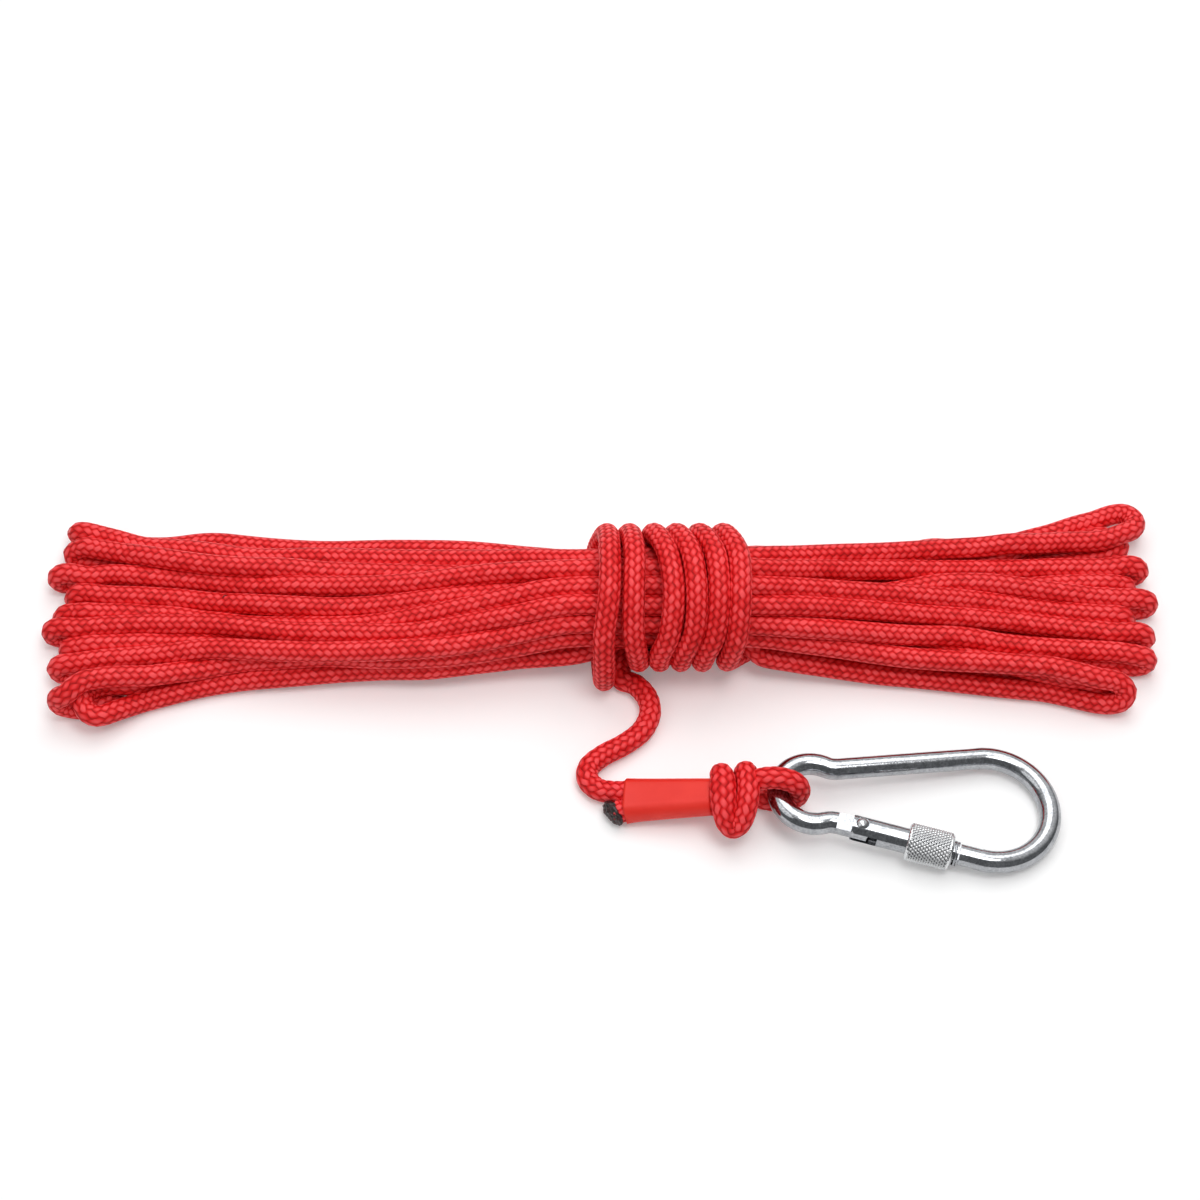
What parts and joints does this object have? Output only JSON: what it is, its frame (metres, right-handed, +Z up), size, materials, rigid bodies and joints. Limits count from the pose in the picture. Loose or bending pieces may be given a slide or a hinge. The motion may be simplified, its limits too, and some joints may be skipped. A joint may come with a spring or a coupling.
{
  "type": "lead rope",
  "caption": "Braided utility lead rope in a bound hank, its knotted and heat-shrunk eye holding a screw-lock spring carabiner.",
  "frame": {"origin": "on the floor, under the middle of the part's bounding box", "axes": "+X along the hank towards the carabiner's bow, +Y away from the carabiner across the hank, +Z up"},
  "size_m": [0.427, 0.1592, 0.055],
  "materials": {
    "rope": "braided polyester, slight sheen",
    "melted_tip": "charred and melted",
    "heat_shrink": "smooth satin",
    "zinc_plate": "bright zinc plate",
    "rivet_steel": "plain turned steel"
  },
  "bodies": {
    "rope": {"rope_hank": "rope", "rope_binding": "rope", "rope_tail": "rope", "rope_end": "rope", "melted_tip": "melted_tip", "rope_knot": "rope", "rope_eye": "rope", "heat_shrink_sleeve": "heat_shrink"},
    "carabiner": {"carabiner_frame": "zinc_plate"},
    "gate_arm": {"gate": "zinc_plate", "hinge_rivet": "rivet_steel", "gate_spring": "rivet_steel"},
    "plunger": {"spring_plunger": "rivet_steel"},
    "lock": {"screw_sleeve": "zinc_plate"}
  },
  "joints": [
    {"name": "carabiner_swing", "type": "hinge", "parent": "rope", "child": "carabiner", "pos_m": [0.0639, -0.0498, 0.0124], "axis": [-0.0523, -0.9986, 0], "range_deg": [0, 95]},
    {"name": "gate_hinge", "type": "hinge", "parent": "carabiner", "child": "gate_arm", "pos_m": [0.09314, -0.06444, 0.00984], "axis": [0.0849, -0.0045, 0.9964], "range_deg": [0, 28], "stiffness_Nm_per_rad": 0.05, "springref_deg": -28.65},
    {"name": "plunger_slide", "type": "slide", "parent": "gate_arm", "child": "plunger", "axis": [0.9667, -0.2417, -0.0835], "range_m": [0, 0.0011], "deforming": ["gate_spring"]},
    {"name": "sleeve_travel", "type": "slide", "parent": "gate_arm", "child": "lock", "axis": [0.9667, -0.2417, -0.0835], "range_m": [0, 0.007]}
  ],
  "couplings": [
    {"joint": "plunger_slide", "follows": "gate_hinge", "m_per_rad": 0.002128}
  ]
}
